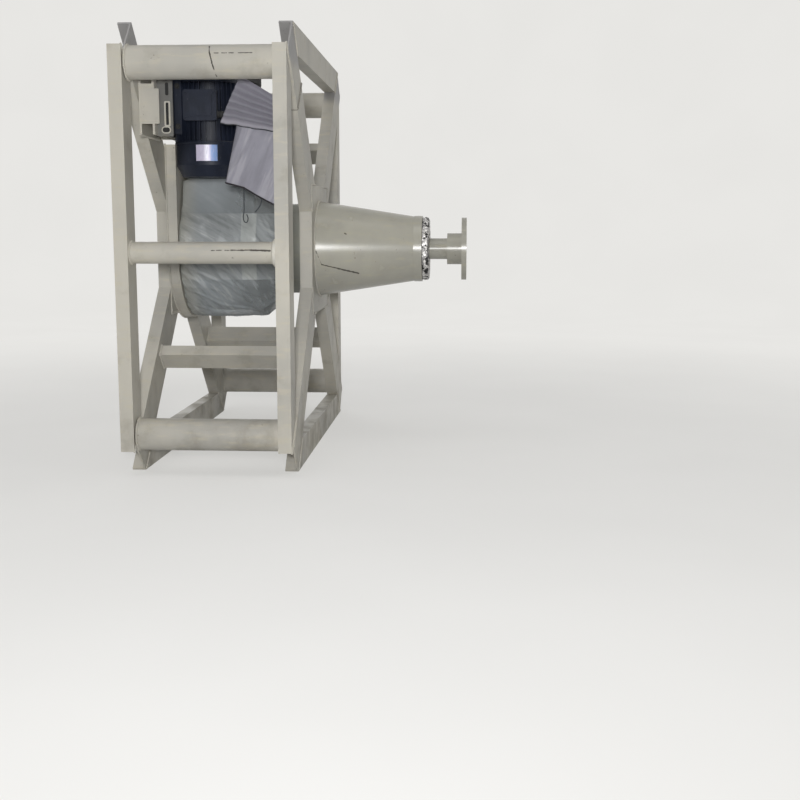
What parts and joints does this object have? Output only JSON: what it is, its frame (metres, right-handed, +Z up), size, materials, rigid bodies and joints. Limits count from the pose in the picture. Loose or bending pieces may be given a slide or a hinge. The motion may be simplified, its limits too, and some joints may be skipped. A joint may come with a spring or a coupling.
{
  "type": "wet pan mill drive head",
  "caption": "Drive head of a grinding mill lying on its side: braced channel frame, bearing cone with coupling shaft, wrapped gearbox and belt-driven motor.",
  "frame": {"origin": "on the ground under the middle of the object's box", "axes": "+X along the output shaft towards its coupling, +Y away from the motor's side, +Z up"},
  "size_m": [1.21, 1.6, 1.57],
  "materials": {
    "cream_paint": "semi-gloss enamel, slightly soiled",
    "shaft_paint": "semi-gloss enamel over turned steel",
    "bare_steel": "turned",
    "seal_foil": "crumpled foil with black grease",
    "gearbox_paint": "satin",
    "pulley_black": "satin paint",
    "belt_rubber": "matt",
    "motor_navy": "semi-gloss enamel",
    "blank_plate": "satin, bare",
    "packing_film": "wrinkled stretch film",
    "woven_sack": "woven plastic sackcloth"
  },
  "bodies": {
    "drive_head": {"drive_end_posts": "cream_paint", "drive_end_beams": "cream_paint", "drive_end_arms": "cream_paint", "drive_end_hub_plate": "cream_paint", "cone_end_posts": "cream_paint", "cone_end_beams": "cream_paint", "cone_end_arms": "cream_paint", "cone_end_hub_plate": "cream_paint", "corner_tubes": "cream_paint", "side_tubes": "cream_paint", "side_tube_collars": "cream_paint", "arm_rungs": "cream_paint", "bearing_cone": "cream_paint", "nose_ring": "cream_paint", "gearbox_seat": "cream_paint", "motor_bracket": "cream_paint", "motor_rails": "cream_paint", "input_shaft": "bare_steel", "motor_shaft": "bare_steel", "nose_seal": "seal_foil", "gearbox_case": "gearbox_paint", "gearbox_neck": "gearbox_paint", "input_pulley": "pulley_black", "motor_pulley": "pulley_black", "drive_belts": "belt_rubber", "motor_body": "motor_navy", "motor_cowl": "motor_navy", "motor_feet": "motor_navy", "terminal_box": "motor_navy", "rating_plate": "blank_plate", "gearbox_film": "packing_film", "hanging_sack": "woven_sack"},
    "output_rotor": {"output_shaft": "shaft_paint", "coupling_hub": "shaft_paint", "coupling_flange": "shaft_paint"}
  },
  "joints": [
    {"name": "output_spin", "type": "hinge", "parent": "drive_head", "child": "output_rotor", "pos_m": [0.427, 0, 0.785], "axis": [1, 0, 0], "continuous": true}
  ]
}
